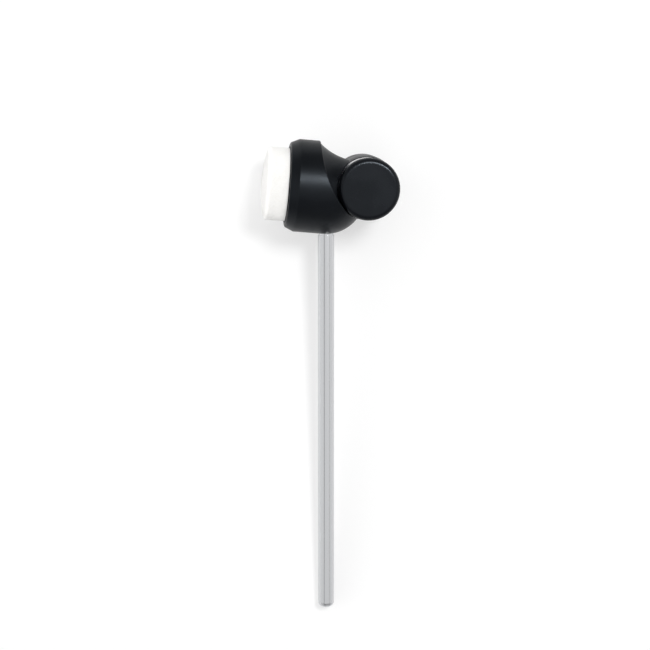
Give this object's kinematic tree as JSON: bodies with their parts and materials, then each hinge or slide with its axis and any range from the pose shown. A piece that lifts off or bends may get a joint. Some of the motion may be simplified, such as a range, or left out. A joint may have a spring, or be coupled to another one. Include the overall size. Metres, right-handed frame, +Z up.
{
  "type": "bass drum beater",
  "caption": "Bass drum pedal beater: a round steel shaft carrying a moulded head with a domed felt striking pad in front and a pull-out weight in a drum across its back.",
  "frame": {"origin": "on the shaft axis, 35 mm above the shaft's lower tip, in the middle of the stretch that a pedal's beater hub clamps", "axes": "+Z up the shaft towards the head, -X the way the felt faces, -Y the way the weight pulls out"},
  "size_m": [0.0667, 0.0452, 0.2378],
  "materials": {
    "head_plastic": "satin moulded black",
    "cap_plastic": "fine-textured moulded black",
    "carrier_plastic": "moulded black",
    "shaft_steel": "bright drawn and plated",
    "bush_aluminium": "turned",
    "weight_aluminium": "turned, clear anodised",
    "screw_steel": "black oxide",
    "washer_steel": "zinc plated",
    "keeper_steel": "zinc plated",
    "insert_brass": "turned",
    "magnet_nickel": "nickel plated",
    "oring_rubber": "matt black",
    "felt": "pressed white wool felt"
  },
  "bodies": {
    "head": {"head_shell": "head_plastic", "shaft": "shaft_steel", "shaft_sleeve": "bush_aluminium", "shaft_set_screw": "screw_steel", "felt_pad": "felt", "pad_carrier": "carrier_plastic", "pad_stud": "screw_steel", "pad_insert": "insert_brass", "pad_washer": "washer_steel", "drum_end_cap": "cap_plastic", "keeper_plate": "keeper_steel", "keeper_screw": "screw_steel"},
    "weight": {"weight_body": "weight_aluminium", "weight_cap": "cap_plastic", "weight_magnet": "magnet_nickel", "weight_oring": "oring_rubber"}
  },
  "joints": [
    {"name": "weight_pull", "type": "slide", "parent": "head", "child": "weight", "axis": [0, -1, 0], "range_m": [0, 0.016]}
  ]
}
